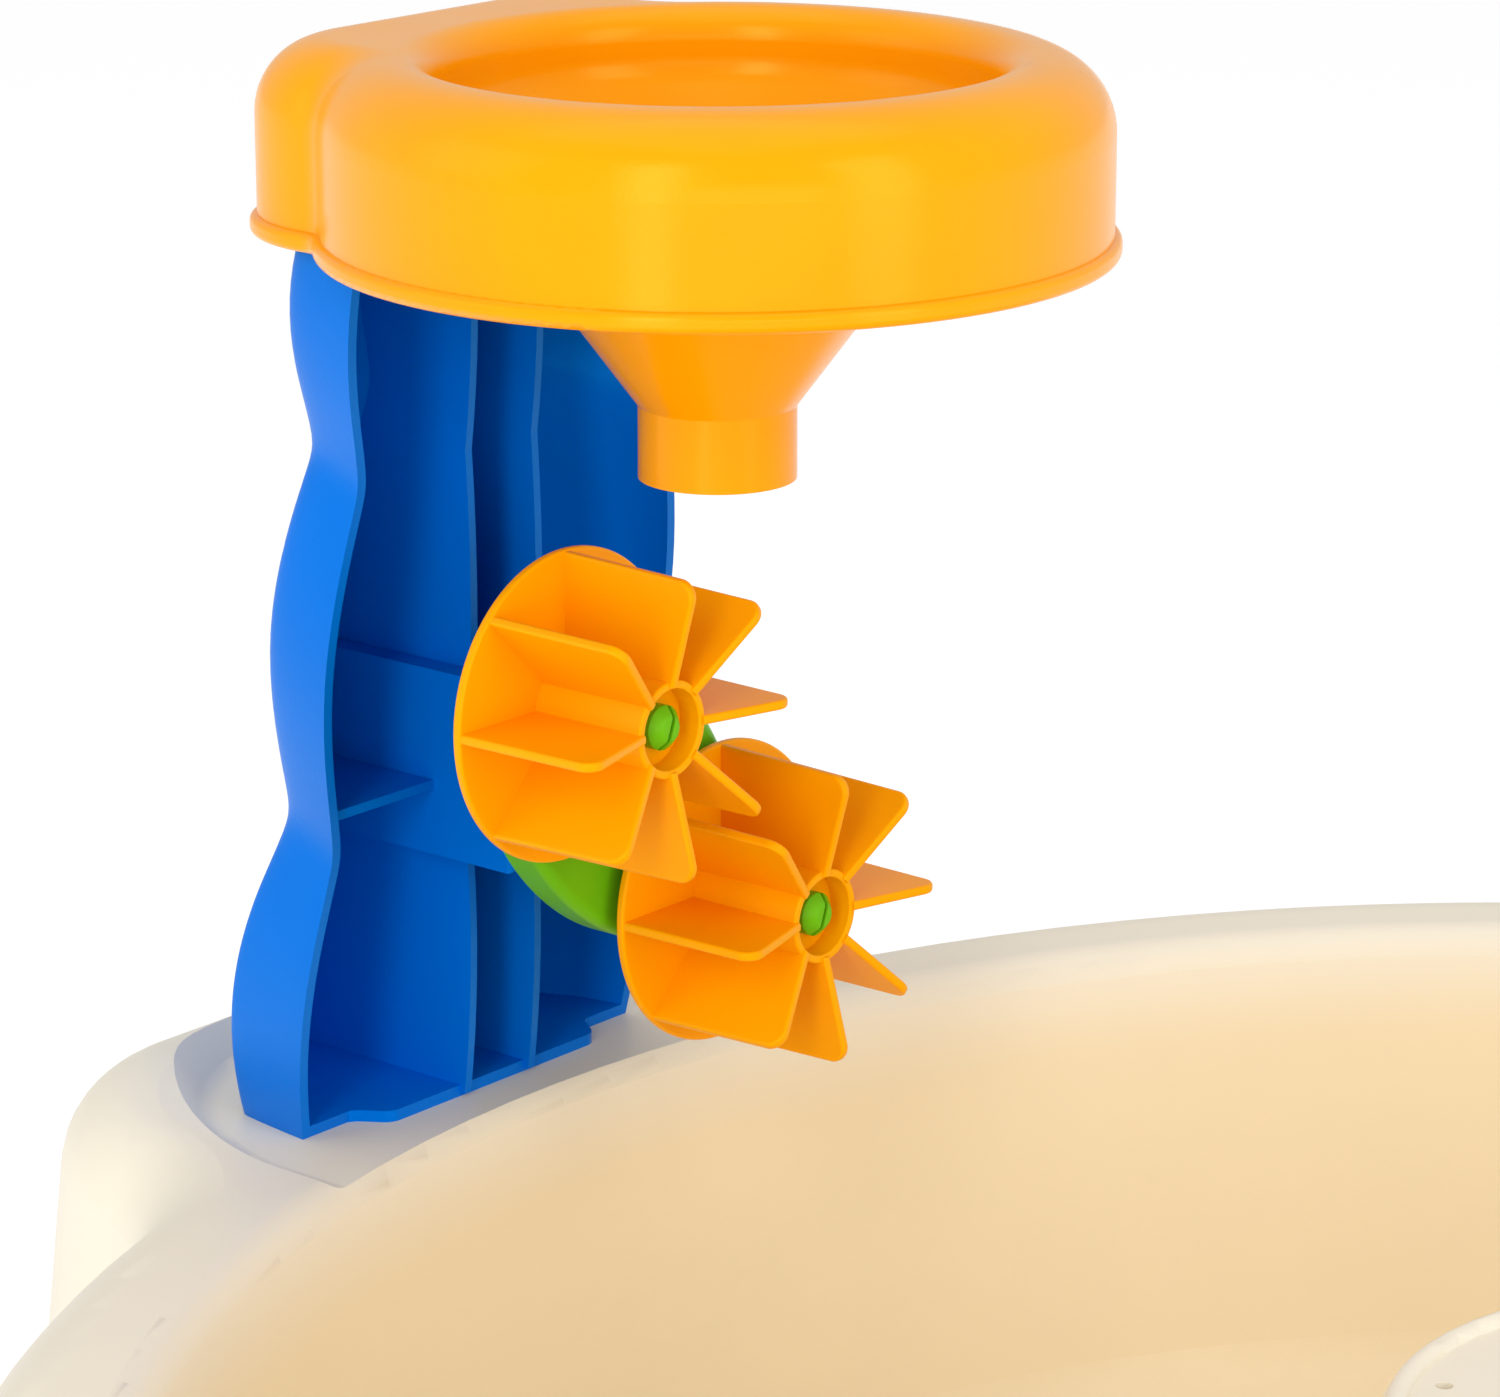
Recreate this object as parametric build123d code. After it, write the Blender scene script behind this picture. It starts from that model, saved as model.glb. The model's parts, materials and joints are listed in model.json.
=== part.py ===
from build123d import *
import os
from math import atan2, cos, pi, radians, sin, sqrt, tan

# Sand and water table: a round tub on four legs, with a tower at the back that carries a
# pour-in funnel and a green carrier with two paddle wheels turning under the spout.
# Millimetres. +Z is up, the tower stands at +Y and its open face looks to -Y.

os.makedirs("parts", exist_ok=True)

# ---- tub ---------------------------------------------------------------------------
rim_height = 460.0
inner_roll = 9.5         # rounding between the tub's wall and the rim
rim_inner = 346.0         # tub wall's inner face at the height of the crest
rim_crest = 355.5         # circle where the wall's rounding ends on the flat of the rim
rim_outer = 388.0         # outside of the rim's skirt
rim_drop = 62.0           # how far the outer skirt hangs below the crest
rim_roll = 22.0           # rounding between the rim's top and its skirt
tub_depth = 130.0
tub_wall = 3.5
floor_radius = 312.0
island_top_radius = 77.0
island_foot_radius = 100.0
island_rise = 4.0         # island top above the rim's crest
island_hole_circle = 65.0

# ---- raised pad under the tower, measured from the spout's axis ---------------------
spout_reach = 285.4       # tub centre to spout axis
pad_half_width = 100.0
pad_back = 156.0
pad_corner = 52.0
pad_blend = 34.0          # hollow corner between the pad's sides and the rim
pad_rise_start = 64.0     # from here back the pad's top curves upwards
pad_rise = 13.0           # by this much at its back edge
pad_seat = 2.0            # the seat below the rim's crest
seat_half_width = 80.0
seat_back = 137.0
seat_corner = 66.0
pad_draft = 6.0           # degrees

# ---- funnel ------------------------------------------------------------------------
spout_drop = 169.2        # spout's mouth above the rim's crest
spout_radius = 19.0
spout_length = 17.7
cone_angle = 36.4         # from the spout's axis, degrees
funnel_wall = 2.5
bowl_radius = 93.3
bowl_top = 101.5          # above the spout's mouth
skirt_bottom = 54.6
lip_reach = 1.8
block_half_width = 64.0
block_back = 109.0
block_corner = 35.5
block_blend = 11.0        # hollow corner between the block and the bowl
mouth_radius = 66.5       # inside of the bowl at its top
crest_round = 18.0
bowl_edge_round = 8.0

# ---- tower -------------------------------------------------------------------------
waists = (-97.0, -2.0)    # heights of the two pinches in the tower's outline
lower_lobe = 94.0         # heights over which the end lobes would close again
upper_lobe = 84.0
waist_tilt = 20.0         # degrees: the pinches rise towards the tower's back
waist_front = 57.2        # half-width of the front edges at a waist
waist_middle = 48.9       # half-width halfway back at a waist
waist_depth = 43.0        # front edge to the back of the shell at a waist
tower_wall = 2.8
tower_top = 69.0          # above the spout's mouth
rib_offset = 12.0
rib_wall = 2.4
bearing_half_width = 20.0
bearing_top = -57.3
bearing_bottom = -105.3
bearing_face = 49.0       # from the spout's axis, towards +Y
web_level = -87.0
peg_x = 32.0
peg_y = 106.0
peg_radius = 9.0
post_x = 26.0
post_y = 84.0

# ---- wheels and their carrier ------------------------------------------------------
wheel_dx = 28.8
wheel_dz = 30.6
carrier_z = -85.2         # carrier's axis above the spout's mouth
wheel_radius = 38.6
plate_wall = 2.4
plate_back = 24.8
hub_radius = 11.95
hub_bore = 9.9
hub_front = -10.3
hub_back = 26.0
blade_count = 8
blade_wall = 2.4
pin_radius = 4.05
running_gap = 0.05
side_gap = 0.3
carrier_front = 28.5
carrier_back = 40.0
axle_radius = 5.2

# ---- legs --------------------------------------------------------------------------
leg_wall = 3.0
leg_top_radius = 250.0    # tub centre to the middle of a leg's top
leg_foot_radius = 288.0
leg_top_size = (84.0, 48.0)
leg_foot_size = (60.0, 42.0)
leg_corner = 14.0
socket_depth = 30.0
foot_height = 5.0
leg_angles = (45.0, 135.0, 225.0, 315.0)

# ---- drain -------------------------------------------------------------------------
drain_radius = 15.0
drain_place = (0.0, -190.0)     # from the tub's centre
collar_drop = 7.0

# ---- worked-out places -------------------------------------------------------------
pad_flare = (rim_drop + 20) * tan(radians(pad_draft))
pad_reach = spout_reach + pad_back + pad_flare
tub_y = (rim_outer - pad_reach) / 2
spout_y = tub_y + spout_reach
spout_z = rim_height + spout_drop
floor_z = rim_height - tub_depth
seat_z = rim_height - pad_seat
under_floor = floor_z - tub_wall
leg_top = under_floor
at_tub = Pos(0, tub_y, 0)
at_spout = Pos(0, spout_y, spout_z)


def rounded_face(corners):
    """Flat face from (a, b, radius) corners, each turned into a tangent arc."""
    count = len(corners)
    edges = []
    joins = []
    for i, (a, b, radius) in enumerate(corners):
        here = Vector(a, b)
        back = (Vector(*corners[i - 1][:2]) - here).normalized()
        ahead = (Vector(*corners[(i + 1) % count][:2]) - here).normalized()
        if radius == 0:
            joins.append((here, here))
            continue
        half = back.get_angle(ahead) / 2
        reach = radius / tan(radians(half))
        start = here + back * reach
        end = here + ahead * reach
        bisector = (back + ahead).normalized()
        middle = here + bisector * (radius / sin(radians(half)) - radius)
        edges.append(ThreePointArc(start, middle, end))
        joins.append((start, end))
    for i in range(count):
        start = joins[i][1]
        end = joins[(i + 1) % count][0]
        if (end - start).length > 1e-6:
            edges.append(Line(start, end))
    return make_face(Wire(edges))


def turned(corners):
    """Solid of revolution about Z from (radius, z, corner radius) corners."""
    return revolve(Plane.XZ * rounded_face(corners), Axis.Z)


def rounded_block(half_x, half_y, corner, low, high, centre=(0.0, 0.0)):
    """Upright block with rounded vertical edges."""
    outline = Pos(centre[0], centre[1], low) * RectangleRounded(2 * half_x, 2 * half_y, corner)
    return extrude(outline, high - low)


def standing_cylinder(radius, height):
    """Cylinder that stands on z = 0."""
    return Cylinder(radius, height, align=(Align.CENTER, Align.CENTER, Align.MIN))


def along_y(shape):
    """Turn a shape built along +Z so that its +Z points to -Y."""
    return Rot(90, 0, 0) * shape


def disc(radius, front, back, x=0.0, z=0.0):
    """Cylinder about a Y axis, from y = front to y = back."""
    return Pos(x, back, z) * along_y(standing_cylinder(radius, back - front))


def screw(length, shank=1.8, head=4.0, head_height=2.6):
    """Pan-head cross-recess screw: head underside at z = 0, shank towards -Z."""
    dome = turned([(0, 0, 0), (head, 0, 0), (head, head_height, head_height * 0.7), (0, head_height, 0)])
    body = dome + Pos(0, 0, -length / 2) * Cylinder(shank, length)
    tip = Pos(0, 0, -length) * Cone(0.5, shank, 2.5, align=(Align.CENTER, Align.CENTER, Align.MAX))
    slot = Box(4.4, 0.9, 2.4) + Box(0.9, 4.4, 2.4)
    return body + tip - Pos(0, 0, head_height) * slot


def write(name, shape):
    shape.label = name
    export_step(shape, f"parts/{name}.step")


# ---- tub ---------------------------------------------------------------------------
def tub_shell():
    """Turned shell: island, moat floor, wall and the inner part of the rim's top."""
    w = tub_wall
    top = rim_height
    return turned([
        (0, top + island_rise, 0),
        (island_top_radius, top + island_rise, 3),
        (island_foot_radius, floor_z, 20),
        (floor_radius, floor_z, 30),
        (rim_inner, top, inner_roll),
        (rim_crest + 10, top, 0),
        (rim_crest + 10, top - w, 0),
        (rim_inner + w, top - w, 6),
        (floor_radius + w, under_floor, 30),
        (island_foot_radius - w, under_floor, 20),
        (island_top_radius - w, top + island_rise - w, 2),
        (0, top + island_rise - w, 0),
    ])


def crown(inset):
    """Everything under the rim's top: level, then curving upwards along the pad."""
    level = rim_height - inset
    start = spout_reach + pad_rise_start
    run = pad_back - pad_rise_start
    radius = run ** 2 / (2 * pad_rise)
    turn = (run + 30) / radius
    end = (start + radius * sin(turn), level + radius * (1 - cos(turn)))
    middle = (start + radius * sin(turn / 2), level + radius * (1 - cos(turn / 2)))
    low = rim_height - rim_drop - 10
    outline = make_face(Wire([
        Line((-420, low), (-420, level)), Line((-420, level), (start, level)),
        ThreePointArc((start, level), middle, end),
        Line(end, (end[0], low)), Line((end[0], low), (-420, low))]))
    return extrude(Plane.YZ.offset(-450) * outline, 900)


def rim_block(inset, drop):
    """Rim and pad as one solid, with hollow corners between them and a rolled top edge."""
    low = rim_height - drop
    high = rim_height + 20
    ring = Pos(0, 0, low) * standing_cylinder(rim_outer - inset, high - low)
    half = pad_half_width - inset
    back = pad_back - inset
    corner = pad_corner - inset
    outline = rounded_face([(-half, -120, 0), (half, -120, 0), (half, back, corner), (-half, back, corner)])
    body = ring + extrude(Pos(0, spout_reach, high) * outline, low - high, taper=-pad_draft)
    seams = body.edges().filter_by(
        lambda e: abs(abs(e.center().X) - half) < 15 and 330 < e.center().Y < 420
        and low + 5 < e.center().Z < high - 1)
    body = fillet(seams, pad_blend + inset) & crown(inset)
    crown_foot = spout_reach + pad_rise_start
    edges = body.edges().filter_by(
        lambda e: e.center().Z > rim_height - inset - 0.1
        and not (abs(e.center().X) < 1 and abs(e.center().Y - crown_foot) < 1))
    return fillet(edges, rim_roll - inset)


def bowl_room():
    """Space inside the top of the tub's wall, out to the rim's crest."""
    foot = rim_height - rim_drop - 20
    slope = (rim_inner - floor_radius) / tub_depth
    return turned([
        (0, foot, 0), (rim_inner - slope * (rim_drop + 20), foot, 0), (rim_inner, rim_height, inner_roll),
        (rim_crest, rim_height, 0), (rim_crest, rim_height + 40, 0), (0, rim_height + 40, 0)])


def rim():
    """Rim and pad, hollow from below, with a thicker plate where the tower stands."""
    hollow = rim_block(tub_wall, rim_drop + 5)
    plate = Pos(0, spout_reach + 100, seat_z - tub_wall + 50) * Box(
        2 * seat_half_width + 8, 120, 100)
    return rim_block(0, rim_drop) - (hollow - plate) - bowl_room()


def seat_cut():
    """Recess in the pad's top where the tower stands, its sides sloping outwards."""
    half = seat_half_width
    outline = rounded_face([
        (-half, -60, 0), (half, -60, 0), (half, seat_back, seat_corner), (-half, seat_back, seat_corner)])
    cut = extrude(Pos(0, 0, seat_z) * outline, 30, taper=-45)
    low = cut.edges().filter_by(lambda e: abs(e.center().Z - seat_z) < 0.01)
    return fillet(low.filter_by(lambda e: e.center().Y > -50), 7)


def peg_socket(x):
    """Blind socket for one of the tower's pegs, with a screw hole in its bottom."""
    deep = 26.0
    tube = Pos(x, peg_y, seat_z - deep - 3) * standing_cylinder(peg_radius + 3.3, deep + 2)
    bore = Pos(x, peg_y, seat_z - deep) * standing_cylinder(peg_radius + 0.3, deep + 5)
    hole = Pos(x, peg_y, seat_z - deep - 3) * Cylinder(2.2, 12)
    return tube, bore + hole


def leg_socket(angle):
    """Collar under the floor that a leg plugs into, with its two screw holes."""
    half_a = leg_top_size[0] / 2 + side_gap
    half_b = leg_top_size[1] / 2 + side_gap
    low = leg_top - socket_depth
    outer = rounded_block(half_b + 3, half_a + 3, leg_corner + 3.3, low, leg_top + 1)
    inner = rounded_block(half_b, half_a, leg_corner + 0.3, low - 1, leg_top)
    collar = Pos(leg_top_radius, 0, 0) * (outer - inner)
    holes = leg_screw_holes(2.2)
    return Rot(0, 0, angle) * (collar - holes)


def leg_screw_holes(radius):
    """Two radial holes through a leg's outer side and its collar."""
    reach = leg_top_radius + leg_top_size[1] / 2
    hole = Rot(0, 90, 0) * Cylinder(radius, 20)
    pair = Part()
    for side in (-1, 1):
        pair += Pos(reach, side * 22, leg_top - socket_depth / 2) * hole
    return pair


def tub():
    body = tub_shell() + rim()
    body += Pos(0, 0, rim_height + island_rise) * Torus(island_top_radius - 3.4, 2.4)
    in_spout_frame = Pos(0, spout_reach, 0)
    body -= in_spout_frame * seat_cut()
    for x in (-peg_x, peg_x):
        tube, bore = peg_socket(x)
        body += in_spout_frame * tube
        body -= in_spout_frame * bore
    for angle in leg_angles:
        body += leg_socket(angle)
    for turn in range(4):
        body -= Rot(0, 0, 108 + 90 * turn) * Pos(island_hole_circle, 0, rim_height) * Cylinder(2, 30)
    x, y = drain_place
    body += Pos(x, y, under_floor - collar_drop / 2 + 0.5) * Cylinder(drain_radius + 4, collar_drop + 1)
    body -= Pos(x, y, under_floor) * Cylinder(drain_radius, 40)
    return at_tub * body


# ---- drain plug --------------------------------------------------------------------
def drain_plug():
    """Stopper pushed up through the floor, with a flange and a pull tab below."""
    low = under_floor - collar_drop - 1.5
    stem_top = floor_z - 0.5
    stem = turned([
        (0, low - 3, 0), (drain_radius + 4, low - 3, 1), (drain_radius + 4, low, 1),
        (drain_radius - 0.3, low, 0), (drain_radius - 0.3, stem_top, 1.5),
        (drain_radius - 3, stem_top, 1), (drain_radius - 3, low + 2, 1), (0, low + 2, 0)])
    tab = extrude(Plane.XZ.offset(-1.5) * rounded_face([
        (-9, low - 2, 0), (9, low - 2, 0), (9, low - 19, 7), (-9, low - 19, 7)]), 3)
    x, y = drain_place
    return at_tub * Pos(x, y, 0) * (stem + tab)


def drain_seal():
    """Flat ring between the plug's flange and the collar."""
    low = under_floor - collar_drop - 1.5
    ring = turned([
        (drain_radius - 0.25, low, 0), (drain_radius + 3.6, low, 0.4),
        (drain_radius + 3.6, low + 1.5, 0.4), (drain_radius - 0.25, low + 1.5, 0)])
    x, y = drain_place
    return at_tub * Pos(x, y, 0) * ring


# ---- legs --------------------------------------------------------------------------
def leg_solid(inset, low, high):
    """Straight plug above, then a tapered and splayed shaft down to the foot."""
    (top_a, top_b), (foot_a, foot_b) = leg_top_size, leg_foot_size
    knee = leg_top - socket_depth
    corner = leg_corner - inset
    plug = rounded_block(top_b / 2 - inset, top_a / 2 - inset, corner, knee, high)
    plug = Pos(leg_top_radius, 0, 0) * plug
    upper = Pos(leg_top_radius, 0, knee) * RectangleRounded(top_b - 2 * inset, top_a - 2 * inset, corner)
    lower = Pos(leg_foot_radius, 0, low) * RectangleRounded(foot_b - 2 * inset, foot_a - 2 * inset, corner)
    return plug + loft([lower, upper])


def leg(angle):
    outer = leg_solid(0, foot_height, leg_top)
    inner = leg_solid(leg_wall, foot_height, leg_top - leg_wall)
    body = outer - inner - leg_screw_holes(1.9)
    return at_tub * Rot(0, 0, angle) * body


def foot_cap(angle):
    """Pad that plugs into the open end of a leg."""
    foot_a, foot_b = leg_foot_size
    sole = rounded_block(foot_b / 2, foot_a / 2, leg_corner, 0, foot_height)
    sole = fillet(sole.edges().group_by(Axis.Z)[0], 1.5)
    inset = leg_wall + 1.2
    half_a = foot_a / 2 - inset
    half_b = foot_b / 2 - inset
    plug = rounded_block(half_b, half_a, leg_corner - inset, foot_height, foot_height + 8)
    core = rounded_block(half_b - 3, half_a - 3, 5, foot_height - 2, foot_height + 9)
    return at_tub * Rot(0, 0, angle) * Pos(leg_foot_radius, 0, 0) * (sole + plug - core)


def leg_screws():
    face = leg_top_radius + leg_top_size[1] / 2 + side_gap + 3
    group = []
    for angle in leg_angles:
        for side in (-1, 1):
            one = Pos(face, side * 22, leg_top - socket_depth / 2) * Rot(0, 90, 0) * screw(11)
            group.append(at_tub * Rot(0, 0, angle) * one)
    return Compound(children=group)


# ---- tower -------------------------------------------------------------------------
def front_y(z):
    """The side walls' front edges lean a little: forward at the top."""
    return 63.4 - 0.118 * z


def bulge(z):
    """0 at the waists and 1 where a lobe of the tower stands out most, with soft turns."""
    lower, upper = waists
    if z < lower:
        swing = sin(pi * (lower - z) / lower_lobe)
    elif z < upper:
        swing = sin(pi * (z - lower) / (upper - lower))
    else:
        swing = sin(pi * (z - upper) / upper_lobe)
    soft = 0.15
    return (sqrt(swing ** 2 + soft ** 2) - soft) / (sqrt(1 + soft ** 2) - soft)


def tilt(z, low, high):
    """Backward rise of a cross-section: none at the tower's ends, most at the waists."""
    lower, upper = waists
    if z < lower:
        return waist_tilt * (z - low) / (lower - low)
    if z < upper:
        return waist_tilt
    return waist_tilt * (high - z) / (high - upper)


def plan_sizes(z):
    """Half-width at the front, half-width halfway back, and depth, at height z."""
    out = bulge(z)
    swell = 9.8 if z < waists[0] else 6.8
    return waist_front + 6.8 * out, waist_middle + swell * out, waist_depth + 0.86 * swell * out


def tower_section(z, turn, inset, front_shift):
    """Half-round plan of the tower where its front edge is at height z."""
    half, middle, depth = plan_sizes(z)
    half, middle, depth = half - inset, middle - 1.1 * inset, depth - inset
    right = [(half, 0), (middle, 0.5 * depth), (0.42 * half, 0.93 * depth)]
    left = [(-x, d) for x, d in reversed(right)]
    points = [Vector(x, d) for x, d in right + [(0, depth)] + left]
    curve = Spline(points, tangents=[(-0.12, 1), (-0.12, -1)])
    corners = [points[-1], Vector(-half, -front_shift), Vector(half, -front_shift), points[0]]
    edges = [curve]
    for start, end in zip(corners, corners[1:]):
        if (end - start).length > 1e-6:
            edges.append(Line(start, end))
    return Pos(0, front_y(z), z) * Rot(turn, 0, 0) * make_face(Wire(edges))


def tower_envelope(low, high, inset, front_shift):
    """Three lobes, one above the other, that flow together at the waists."""
    stops = [low, *waists, high]
    heights = [low]
    for foot, head in zip(stops, stops[1:]):
        heights += [foot + (head - foot) * part for part in (0.08, 0.25, 0.5, 0.75, 0.92, 1)]
    return loft([tower_section(z, tilt(z, low, high), inset, front_shift) for z in heights])


def tower_floor(low):
    """Foot plate whose front edge steps forward between the side walls."""
    y = front_y(low)
    step = 9.0
    return extrude(Pos(0, 0, low) * rounded_face([
        (-68, y, 0), (-44, y, 5), (-38, y - step, 5), (38, y - step, 5), (44, y, 5),
        (68, y, 0), (68, y + 70, 0), (-68, y + 70, 0)]), 3)


def tower_rib(x, low):
    """Upright rib whose front edge swells forward a little in each lobe."""
    swell = 2.0
    high = tower_top - 1
    heights = [low + 1, *waists, high]
    fronts = [Vector(69.5 - 0.021 * z, z) for z in heights]
    edges = []
    for start, end in zip(fronts, fronts[1:]):
        edges.append(ThreePointArc(start, (start + end) / 2 - Vector(swell, 0), end))
    edges.append(Line(fronts[-1], (140, high)))
    edges.append(Line((140, high), (140, low + 1)))
    edges.append(Line((140, low + 1), fronts[0]))
    return extrude(Plane.YZ.offset(x - rib_wall / 2) * make_face(Wire(edges)), rib_wall)


def bearing_box(envelope):
    """Hollow box across the tower's back that carries the wheel carrier's axle."""
    height = bearing_top - bearing_bottom
    middle = (bearing_top + bearing_bottom) / 2
    long = 90.0
    outer = Pos(0, bearing_face + long / 2, middle) * Box(2 * bearing_half_width, long, height)
    front = outer.edges().filter_by(lambda e: abs(e.center().Y - bearing_face) < 0.01)
    outer = fillet(front, 2.5)
    near = Pos(0, bearing_face + 17, middle) * Box(60, 34.1, height + 10)
    outer = (outer & near) + (outer & envelope)
    inner = Pos(0, bearing_face + 3 + long / 2, middle) * Box(
        2 * (bearing_half_width - 2.5), long, height - 5)
    bore = disc(axle_radius + running_gap, bearing_face - 1, bearing_face + 4, z=carrier_z)
    return outer, inner + bore


def tower_body():
    low = seat_z - spout_z
    envelope = tower_envelope(low, tower_top, 0, 0)
    inner = tower_envelope(low, tower_top, tower_wall, 12)
    inner -= Pos(0, 90, low - 7) * Box(200, 120, 20)
    inner -= Pos(0, 90, tower_top + 7) * Box(200, 120, 20)
    body = envelope - inner
    body -= Pos(0, 8, tower_top) * Box(200, 120, 8)
    fill = tower_envelope(low, tower_top, 1.0, 12)
    body += tower_floor(low) & (envelope + Pos(0, front_y(low) - 20, low) * Box(90, 40.2, 20))
    for x in (-rib_offset, rib_offset):
        body += tower_rib(x, low) & fill
    web = Pos(0, front_y(web_level) + 42, web_level) * Box(140, 80, 2.4)
    body += web & fill
    box, hollow = bearing_box(fill)
    body += box
    body -= hollow
    for x in (-peg_x, peg_x):
        body += Pos(x, peg_y, low - 24) * standing_cylinder(peg_radius, 25)
        body -= Pos(x, peg_y, low - 25) * standing_cylinder(1.9, 18)
    for x in (-post_x, post_x):
        body -= Pos(x, post_y, tower_top) * Cylinder(2.2, 20)
    return at_spout * body


def tower_screws():
    """Screws driven from below through the pad's sockets into the tower's pegs."""
    face = seat_z - 29.0
    one = Rot(180, 0, 0) * screw(16)
    group = [Pos(x, spout_y + peg_y, face) * one for x in (-peg_x, peg_x)]
    return Compound(children=group)


# ---- funnel ------------------------------------------------------------------------
def funnel_plan(grow):
    """Round bowl joined to the narrower block over the tower's top."""
    bowl = Circle(bowl_radius)
    block = Pos(0, block_back / 2) * Rectangle(2 * block_half_width, block_back)
    plan = bowl + block
    rear = plan.vertices().filter_by(lambda v: v.Y > block_back - 1)
    plan = fillet(rear, block_corner)
    side = plan.vertices().filter_by(
        lambda v: abs(abs(v.X) - block_half_width) < 0.1 and abs(v.Y) < 0.78 * bowl_radius)
    plan = fillet(side, block_blend)
    return offset(plan, grow) if grow else plan


def funnel_body():
    base = skirt_bottom + 2.0
    outer = extrude(Pos(0, 0, base) * funnel_plan(0), bowl_top - base)
    outer = fillet(outer.edges().group_by(Axis.Z)[-1], crest_round)
    lip = extrude(Pos(0, 0, skirt_bottom) * funnel_plan(lip_reach), 5.0)
    lip = fillet(lip.edges().group_by(Axis.Z)[-1] + lip.edges().group_by(Axis.Z)[0], 1.9)
    slope = tan(radians(cone_angle))
    neck = mouth_radius + funnel_wall
    shoulder = spout_length + (neck - spout_radius) / slope
    cone = turned([
        (0, 0, 0), (spout_radius, 0, 0), (spout_radius, spout_length, 0), (neck, shoulder, 8),
        (neck, bowl_top - funnel_wall, 0), (0, bowl_top - funnel_wall, 0)])
    cavity = extrude(
        Pos(0, 0, skirt_bottom - 1) * funnel_plan(-funnel_wall), bowl_top - funnel_wall - skirt_bottom + 1)
    cavity = fillet(cavity.edges().group_by(Axis.Z)[-1], crest_round - funnel_wall)
    side = funnel_wall / cos(radians(cone_angle))
    bend = spout_length + (mouth_radius - spout_radius + side) / slope
    bowl = turned([
        (0, -1, 0), (spout_radius - funnel_wall, -1, 0),
        (spout_radius - funnel_wall, spout_length + 0.8, 4),
        (mouth_radius, bend, 10), (mouth_radius, bowl_top + 5, 0), (0, bowl_top + 5, 0)])
    body = outer + lip - (cavity - cone) + (cone - Pos(0, 0, 60 + bowl_top / 2) * Box(300, 300, bowl_top))
    body -= bowl
    rim = body.edges().filter_by(GeomType.CIRCLE).filter_by(
        lambda e: abs(e.center().Z - bowl_top) < 0.1 and abs(e.radius - mouth_radius) < 1)
    body = fillet(rim, bowl_edge_round)
    for x in (-post_x, post_x):
        body += Pos(x, post_y, tower_top + 0.3) * standing_cylinder(6, bowl_top - tower_top - 2)
        body -= Pos(x, post_y, tower_top) * standing_cylinder(1.9, 20)
    return at_spout * body


def funnel_screws():
    """Screws driven up through the tower's top plate into the funnel's posts."""
    one = Rot(180, 0, 0) * screw(16)
    group = [at_spout * Pos(x, post_y, tower_top - 3) * one for x in (-post_x, post_x)]
    return Compound(children=group)


# ---- paddle wheels -----------------------------------------------------------------
def blade():
    """One flat blade in the XZ-radial plane, its front edge dished towards the hub."""
    outline = rounded_face([
        (hub_bore + 0.6, plate_back - 1, 0), (wheel_radius - 0.4, plate_back - 1, 0),
        (wheel_radius - 1.5, -18.3, 4.2), (hub_bore + 0.6, -11.0, 0)])
    body = Pos(0, 0, -blade_wall / 2) * extrude(outline, blade_wall)
    edges = body.edges().filter_by(
        lambda e: e.center().Y < plate_back - 2 and e.center().X > hub_bore + 1 and abs(e.center().Z) > 0.5)
    return fillet(edges, 0.8)


def paddle_wheel(x, z):
    hub = disc(hub_radius, hub_front, hub_back) - disc(hub_bore, hub_front - 1, -4.0)
    hub = fillet(hub.edges().group_by(Axis.Y)[0], 0.6)
    plate = disc(wheel_radius, plate_back - plate_wall, plate_back)
    plate = fillet(plate.edges(), 0.8)
    body = hub + plate
    for i in range(blade_count):
        body += Rot(0, 360 / blade_count * i, 0) * blade()
    body -= disc(hub_bore, -1.5, hub_back + 1) - disc(pin_radius + 2.6, -2, hub_back + 2)
    body -= disc(pin_radius + running_gap, -10, hub_back + 5)
    return at_spout * Pos(x, 0, z) * body


def split_pin(radius, start, neck, head, nose, slot_turn):
    """Snap pin along -Y: round post, barbed head with a domed nose, split by a slot."""
    post = disc(radius, neck, start)
    rise = neck - nose
    profile = turned([
        (0, 0, 0), (head, 0, 0.4), (head, rise * 0.55, 0), (head * 0.55, rise, 2.0), (0, rise, 0)])
    body = post + Pos(0, neck, 0) * along_y(profile)
    slot = Pos(0, nose + 8, 0) * Rot(0, slot_turn, 0) * Box(1.2, 18, 3 * head)
    return body - slot


def wheel_carrier():
    """Oval carrier with two front pins for the wheels and one rear pin for the tower."""
    tilt = -90 + 180 / pi * atan2(wheel_dx, wheel_dz)
    oval = Rot(0, 0, -tilt - 90) * Ellipse(51, 31.5)
    thick = carrier_back - carrier_front
    plate = along_y(extrude(oval, thick))
    plate = Pos(0, carrier_back, 0) * plate
    plate = fillet(plate.edges().group_by(Axis.Y)[0], 3.0)
    body = plate + disc(11.0, carrier_back - 1, bearing_face - side_gap)
    rear = split_pin(axle_radius, 10, 0, axle_radius + 1.5, -7, 90)
    rear = Rot(0, 0, 180) * rear
    body += Pos(0, bearing_face + 3 + side_gap, 0) * rear
    for side in (-1, 1):
        pin = split_pin(pin_radius, carrier_front + 1, -4.0 - side_gap, 5.5, -10.0, 20)
        pin += disc(7.0, hub_back + side_gap, carrier_front + 1)
        body += Pos(side * wheel_dx, 0, -side * wheel_dz) * pin
    return at_spout * Pos(0, 0, carrier_z) * body


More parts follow.
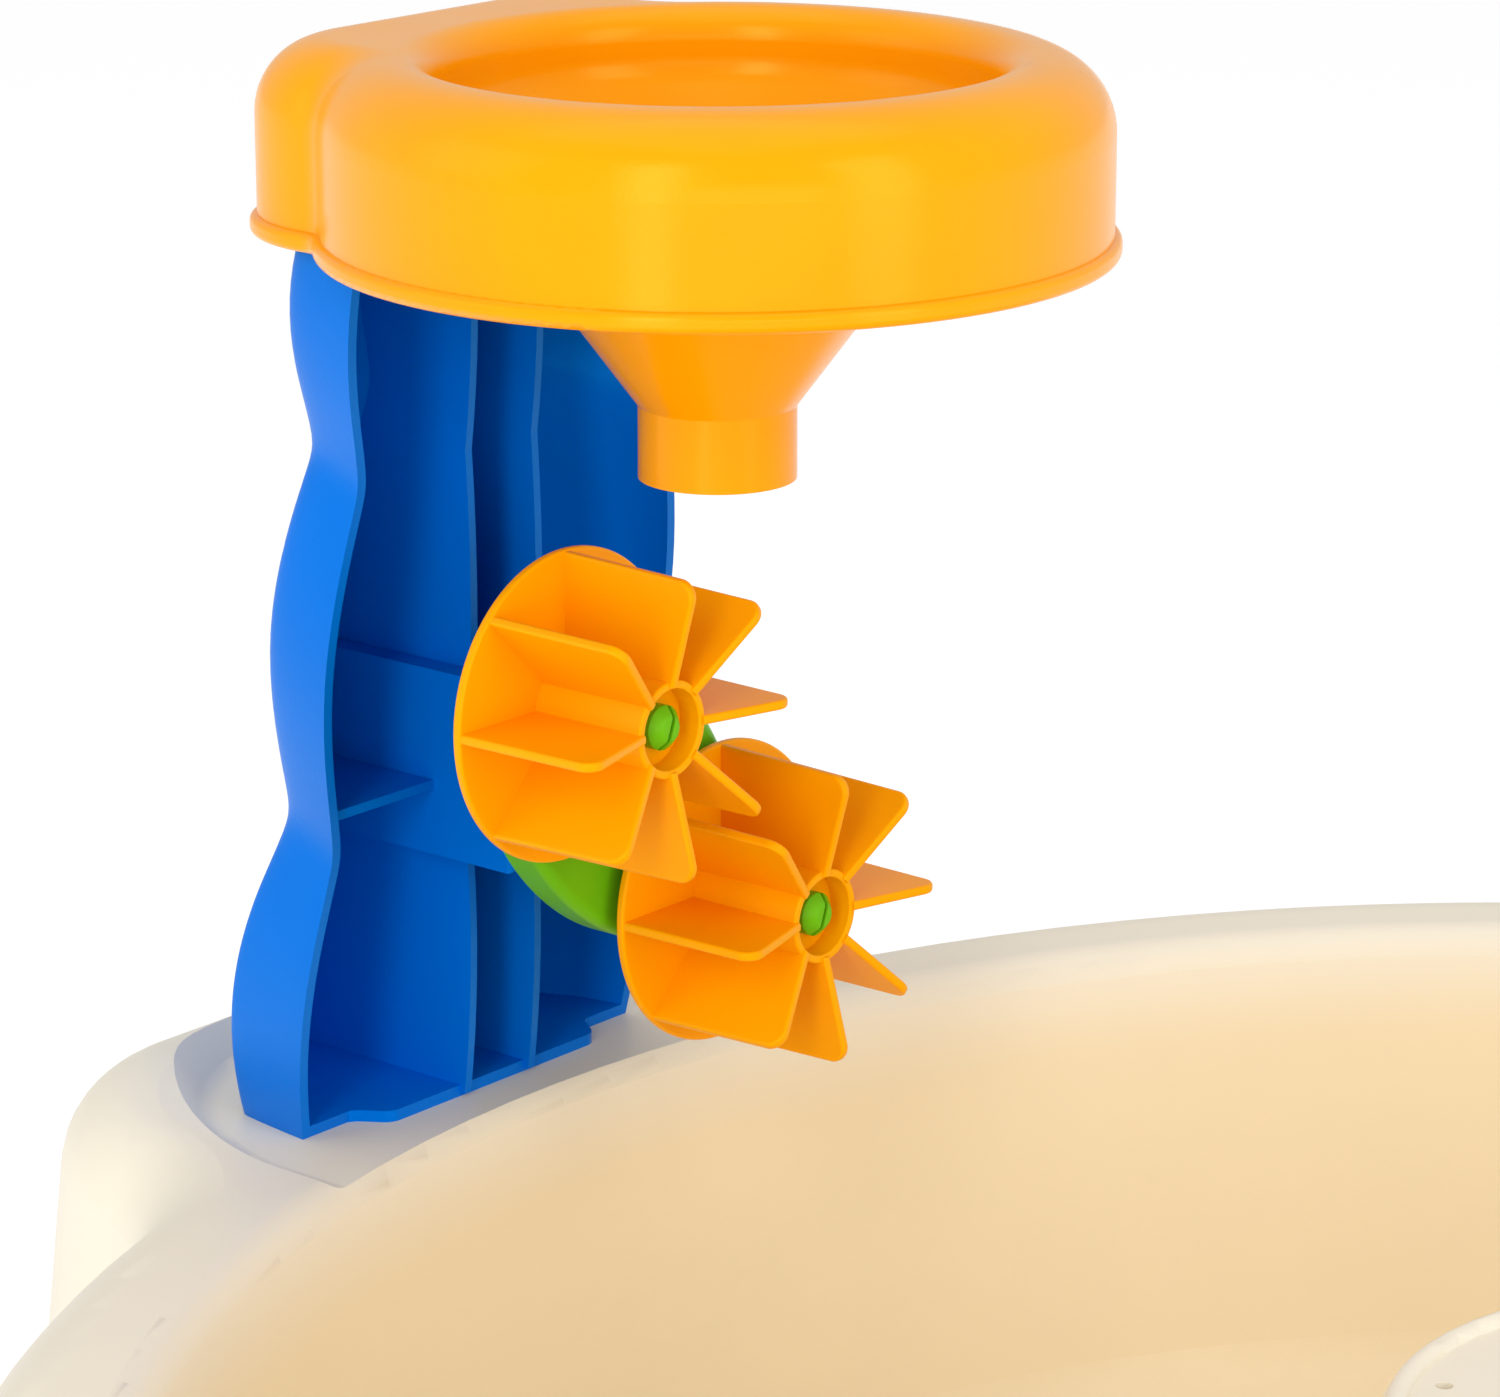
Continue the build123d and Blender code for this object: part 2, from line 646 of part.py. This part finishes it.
# ---- write every piece -------------------------------------------------------------
write("tub", tub())
write("drain_plug", drain_plug())
write("drain_seal", drain_seal())
for number, leg_angle in enumerate(leg_angles, start=1):
    write(f"leg_{number}", leg(leg_angle))
    write(f"foot_cap_{number}", foot_cap(leg_angle))
write("leg_screws", leg_screws())
write("tower", tower_body())
write("tower_screws", tower_screws())
write("funnel", funnel_body())
write("funnel_screws", funnel_screws())
write("wheel_carrier", wheel_carrier())
write("upper_wheel", paddle_wheel(-wheel_dx, carrier_z + wheel_dz))
write("lower_wheel", paddle_wheel(wheel_dx, carrier_z - wheel_dz))
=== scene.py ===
"""Sand and water table: moulded plastics, studio light and the close view of the tower."""
import json
from math import cos, radians, sin

import bpy
from mathutils import Matrix, Vector


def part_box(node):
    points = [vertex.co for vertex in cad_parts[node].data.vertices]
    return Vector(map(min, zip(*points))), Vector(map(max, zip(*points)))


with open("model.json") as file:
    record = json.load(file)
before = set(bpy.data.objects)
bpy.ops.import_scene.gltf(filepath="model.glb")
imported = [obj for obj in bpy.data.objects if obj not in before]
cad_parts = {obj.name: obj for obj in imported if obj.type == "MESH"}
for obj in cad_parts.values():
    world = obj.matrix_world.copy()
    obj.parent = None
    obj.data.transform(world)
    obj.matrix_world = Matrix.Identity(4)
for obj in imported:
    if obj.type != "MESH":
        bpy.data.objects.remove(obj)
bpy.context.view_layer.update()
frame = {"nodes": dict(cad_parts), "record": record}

# Places, from the frame
SPOUT_AHEAD = 0.040               # the spout in front of the carrier's pin in the tower
carrier_axis = next(Vector(j["pos_m"]) for j in frame["record"]["behaviour"]["joints"]
                    if j["name"] == "carrier_turn")
spout_mouth = Vector((0.0, carrier_axis.y - SPOUT_AHEAD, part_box("funnel")[0][2]))
feet = [Vector(m["pos_m"]) for m in frame["record"]["mounts"] if m["name"].startswith("foot_rest")]
tub_axis = sum(feet, Vector()) / len(feet)

# Inside of the tub, where bounce light is painted: a cone just outside its wall, from the floor up to
# the rim
RIM_HEIGHT = 0.460
RIM_WALL = 0.3475                 # from the tub's axis, at the rim
FLOOR_HEIGHT = 0.330
FLOOR_WALL = 0.3135               # from the tub's axis, at the floor
EDGE_BLEND = 0.0012               # half the width of the change of colour within the wall
CREST_BLEND = 0.030               # depth below the rim over which the inside's colour comes in

# Camera: seen from the tub's left front, a little above the funnel
VIEW_AZIMUTH = radians(-50.27)
VIEW_ELEVATION = radians(16.22)
VIEW_DISTANCE = 1.2642
VIEW_AIM = (0.0077, -0.0530)      # right and up from the spout's mouth
VIEW_LENS = 127.46
SENSOR_WIDTH = 36.0

# Light: surroundings, floor, and soft boxes as
# (name, degrees of turn from the camera, distance, height, size, power)
WORLD_STRENGTH = 0.66
FLOOR_GLOW = 0.36
SOFT_BOXES = (
    ("strip_left", -18.0, 2.2, 1.25, (0.50, 2.3), 16.0),
    ("strip_right", 47.0, 2.2, 1.25, (0.80, 2.3), 13.0),
    ("bank_left", -75.0, 2.6, 1.7, (1.6, 1.8), 6.0),
    ("low_fill", 12.0, 2.4, 0.75, (1.6, 1.0), 7.0),
)
OVERHEAD_HEIGHT = 2.8
OVERHEAD_SIZE = (2.0, 2.0)
OVERHEAD_POWER = 8.0
FLOOR_REACH = 40.0
FLOOR_DROP = 0.0005               # keeps the floor clear of the feet

# Texture scales, as repeats per metre
CLOUD_SCALE = 14.0
GLOSS_SCALE = 45.0
SKIN_SCALE = 900.0
SKIN_HEIGHT = 0.0003


def noise(tree, place, scale, detail):
    """Noise texture over the object's own coordinates."""
    node = tree.nodes.new("ShaderNodeTexNoise")
    node.inputs["Scale"].default_value = scale
    node.inputs["Detail"].default_value = detail
    tree.links.new(place.outputs["Object"], node.inputs["Vector"])
    return node.outputs["Fac"]


def cloudy(tree, place, colour, tint):
    """Pigment that is a little darker and lighter in soft clouds."""
    shade = tree.nodes.new("ShaderNodeValToRGB")
    dark, light = shade.color_ramp.elements
    dark.position = 0.3
    light.position = 0.7
    dark.color = (*(c * (1 - tint) for c in colour), 1)
    light.color = (*(min(1.0, c * (1 + tint)) for c in colour), 1)
    tree.links.new(noise(tree, place, CLOUD_SCALE, 3.0), shade.inputs["Fac"])
    return shade.outputs["Color"]


def moulded_plastic(name, colour, rough=0.32, specular=0.3, sheen_of=(1, 1, 1), tint=0.04, grain=0.12):
    """Moulded plastic: cloudy pigment, uneven gloss and a fine orange-peel skin."""
    material = bpy.data.materials.new(name)
    material.use_nodes = True
    tree = material.node_tree
    shader = tree.nodes["Principled BSDF"]
    place = tree.nodes.new("ShaderNodeTexCoord")
    tree.links.new(cloudy(tree, place, colour, tint), shader.inputs["Base Color"])

    gloss = tree.nodes.new("ShaderNodeMapRange")
    gloss.inputs["To Min"].default_value = rough - 0.05
    gloss.inputs["To Max"].default_value = rough + 0.06
    tree.links.new(noise(tree, place, GLOSS_SCALE, 4.0), gloss.inputs["Value"])
    tree.links.new(gloss.outputs["Result"], shader.inputs["Roughness"])

    bump = tree.nodes.new("ShaderNodeBump")
    bump.inputs["Strength"].default_value = grain
    bump.inputs["Distance"].default_value = SKIN_HEIGHT
    tree.links.new(noise(tree, place, SKIN_SCALE, 2.0), bump.inputs["Height"])
    tree.links.new(bump.outputs["Normal"], shader.inputs["Normal"])

    shader.inputs["Specular IOR Level"].default_value = specular
    shader.inputs["Specular Tint"].default_value = (*sheen_of, 1)
    return material


def steel(name):
    """Zinc-plated steel with the same uneven gloss."""
    material = moulded_plastic(name, (0.55, 0.55, 0.56), rough=0.28, specular=0.5, tint=0.06)
    material.node_tree.nodes["Principled BSDF"].inputs["Metallic"].default_value = 1.0
    return material


def calculate(tree, operation, *values):
    """Math node over links or plain numbers."""
    node = tree.nodes.new("ShaderNodeMath")
    node.operation = operation
    for slot, value in zip(node.inputs, values):
        if isinstance(value, (int, float)):
            slot.default_value = value
        else:
            tree.links.new(value, slot)
    return node.outputs["Value"]


def ramp(tree, value, start, end):
    """0 where the value is below start, 1 above end, smooth between."""
    node = tree.nodes.new("ShaderNodeMapRange")
    node.interpolation_type = "SMOOTHSTEP"
    node.inputs["From Min"].default_value = start
    node.inputs["From Max"].default_value = end
    tree.links.new(value, node.inputs["Value"])
    return node.outputs["Result"]


def tub_plastic(name, outside, inside):
    """Cream plastic with painted bounce light: warmer and deeper on the inside of the tub's wall and
    floor.
    """
    material = moulded_plastic(name, outside, rough=0.40, specular=0.35, tint=0.012)
    tree = material.node_tree
    shader = tree.nodes["Principled BSDF"]
    place = next(n for n in tree.nodes if n.bl_idname == "ShaderNodeTexCoord")
    axes = tree.nodes.new("ShaderNodeSeparateXYZ")
    tree.links.new(place.outputs["Object"], axes.inputs["Vector"])
    across = calculate(tree, "POWER", axes.outputs["X"], 2.0)
    along = calculate(tree, "POWER", calculate(tree, "SUBTRACT", axes.outputs["Y"], tub_axis.y), 2.0)
    reach = calculate(tree, "SQRT", calculate(tree, "ADD", across, along))
    slope = (RIM_WALL - FLOOR_WALL) / (RIM_HEIGHT - FLOOR_HEIGHT)
    rise = calculate(tree, "SUBTRACT", axes.outputs["Z"], RIM_HEIGHT)
    wall = calculate(tree, "MULTIPLY_ADD", rise, slope, RIM_WALL)
    within = ramp(tree, calculate(tree, "SUBTRACT", wall, reach), -EDGE_BLEND, EDGE_BLEND)
    above_floor = ramp(tree, axes.outputs["Z"], FLOOR_HEIGHT - 2 * EDGE_BLEND, FLOOR_HEIGHT - EDGE_BLEND)
    below_crest = ramp(tree, calculate(tree, "MULTIPLY", rise, -1.0), -0.001, CREST_BLEND)
    # painted bounce light: how much of the warmer inside colour each point gets
    painted_bounce = calculate(tree, "MULTIPLY", calculate(tree, "MULTIPLY", within, above_floor), below_crest)
    mix = tree.nodes.new("ShaderNodeMix")
    mix.data_type = "RGBA"
    tree.links.new(painted_bounce, mix.inputs["Factor"])
    tree.links.new(cloudy(tree, place, outside, 0.012), mix.inputs["A"])
    tree.links.new(cloudy(tree, place, inside, 0.015), mix.inputs["B"])
    tree.links.new(mix.outputs["Result"], shader.inputs["Base Color"])
    return material


CREAM = (0.88, 0.81, 0.66)
# cream with painted bounce light, for the inside of the tub's wall and floor
BOUNCE_LIT_CREAM = (0.88, 0.725, 0.47)
BLUE = (0.0, 0.165, 0.71)
YELLOW_ORANGE = (1.0, 0.375, 0.0)
ORANGE = (1.0, 0.40, 0.0)
GREEN = (0.14, 0.49, 0.005)
BLUE_SHEEN = (0.02, 0.60, 1.0)
ORANGE_SHEEN = (1.0, 0.66, 0.16)
GREEN_SHEEN = (0.7, 1.0, 0.4)
MATERIALS = {
    "tub_plastic": tub_plastic("tub_plastic_look", outside=CREAM, inside=BOUNCE_LIT_CREAM),
    "tower_plastic": moulded_plastic("tower_plastic_look", BLUE, 0.30, 0.25, BLUE_SHEEN),
    "blue_plastic": moulded_plastic("blue_plastic_look", BLUE, 0.32, 0.25, BLUE_SHEEN),
    "funnel_plastic": moulded_plastic("funnel_plastic_look", YELLOW_ORANGE, 0.22, 0.60, ORANGE_SHEEN),
    "wheel_plastic": moulded_plastic("wheel_plastic_look", ORANGE, 0.34, 0.25, ORANGE_SHEEN),
    "carrier_plastic": moulded_plastic("carrier_plastic_look", GREEN, 0.34, 0.25, GREEN_SHEEN),
    "screw_steel": steel("screw_steel_look"),
    "seal_rubber": moulded_plastic("seal_rubber_look", (0.02, 0.02, 0.02), 0.6),
    "foot_rubber": moulded_plastic("foot_rubber_look", (0.03, 0.032, 0.036), 0.6),
}


def paint_nodes():
    """Every CAD node gets the material of its slot in the record."""
    for part in frame["record"]["subparts"]:
        node = frame["nodes"][part["node"]]
        node.data.materials.clear()
        node.data.materials.append(MATERIALS[part["material_slot"]])


def soft_box(name, place, size, power):
    """Rectangular area light that faces the spout."""
    data = bpy.data.lights.new(name, "AREA")
    data.shape = "RECTANGLE"
    data.size, data.size_y = size
    data.energy = power
    lamp = bpy.data.objects.new(name, data)
    bpy.context.scene.collection.objects.link(lamp)
    lamp.location = place
    lamp.rotation_euler = (spout_mouth - place).to_track_quat("-Z", "Y").to_euler()


def see_through_from_below(tree, shader):
    """Clear on the back face, so that the table's underside can be looked at."""
    side = tree.nodes.new("ShaderNodeNewGeometry")
    clear = tree.nodes.new("ShaderNodeBsdfTransparent")
    mix = tree.nodes.new("ShaderNodeMixShader")
    tree.links.new(side.outputs["Backfacing"], mix.inputs[0])
    tree.links.new(shader.outputs["BSDF"], mix.inputs[1])
    tree.links.new(clear.outputs["BSDF"], mix.inputs[2])
    tree.links.new(mix.outputs["Shader"], tree.nodes["Material Output"].inputs["Surface"])


def floor():
    """Pale, faintly glowing ground."""
    reach = FLOOR_REACH
    mesh = bpy.data.meshes.new("floor")
    mesh.from_pydata([(-reach, -reach, 0), (reach, -reach, 0), (reach, reach, 0), (-reach, reach, 0)],
                     [], [(0, 1, 2, 3)])
    plane = bpy.data.objects.new("floor", mesh)
    bpy.context.scene.collection.objects.link(plane)
    plane.location.z = -FLOOR_DROP
    pale = bpy.data.materials.new("floor_pale")
    pale.use_nodes = True
    shader = pale.node_tree.nodes["Principled BSDF"]
    shader.inputs["Base Color"].default_value = (0.92, 0.92, 0.92, 1)
    shader.inputs["Roughness"].default_value = 0.9
    shader.inputs["Emission Color"].default_value = (1, 1, 1, 1)
    shader.inputs["Emission Strength"].default_value = FLOOR_GLOW
    see_through_from_below(pale.node_tree, shader)
    mesh.materials.append(pale)


def studio():
    """Pale floor, white surroundings and soft boxes placed by their turn from the camera."""
    floor()
    world = bpy.data.worlds.new("studio")
    world.use_nodes = True
    world.node_tree.nodes["Background"].inputs["Color"].default_value = (1, 1, 1, 1)
    world.node_tree.nodes["Background"].inputs["Strength"].default_value = WORLD_STRENGTH
    bpy.context.scene.world = world
    for name, turn, distance, height, size, power in SOFT_BOXES:
        angle = VIEW_AZIMUTH + radians(turn)
        place = Vector((sin(angle) * distance, -cos(angle) * distance, height))
        soft_box(name, place + Vector((0, spout_mouth.y, 0)), size, power)
    soft_box("overhead", Vector((0.0, spout_mouth.y, OVERHEAD_HEIGHT)), OVERHEAD_SIZE, OVERHEAD_POWER)


def camera():
    """Camera that looks at the spout's mouth, shifted by VIEW_AIM."""
    back = Vector((sin(VIEW_AZIMUTH) * cos(VIEW_ELEVATION), -cos(VIEW_AZIMUTH) * cos(VIEW_ELEVATION),
                   sin(VIEW_ELEVATION)))
    right = Vector((cos(VIEW_AZIMUTH), sin(VIEW_AZIMUTH), 0))
    up = back.cross(right)
    data = bpy.data.cameras.new("camera")
    data.sensor_width = SENSOR_WIDTH
    data.lens = VIEW_LENS
    data.clip_end = 100
    view = bpy.data.objects.new("camera", data)
    bpy.context.scene.collection.objects.link(view)
    place = spout_mouth + back * VIEW_DISTANCE + right * VIEW_AIM[0] + up * VIEW_AIM[1]
    view.matrix_world = Matrix.Translation(place) @ Matrix((right, up, back)).transposed().to_4x4()
    bpy.context.scene.camera = view


camera()
studio()
paint_nodes()
bpy.context.scene.view_settings.view_transform = "Standard"
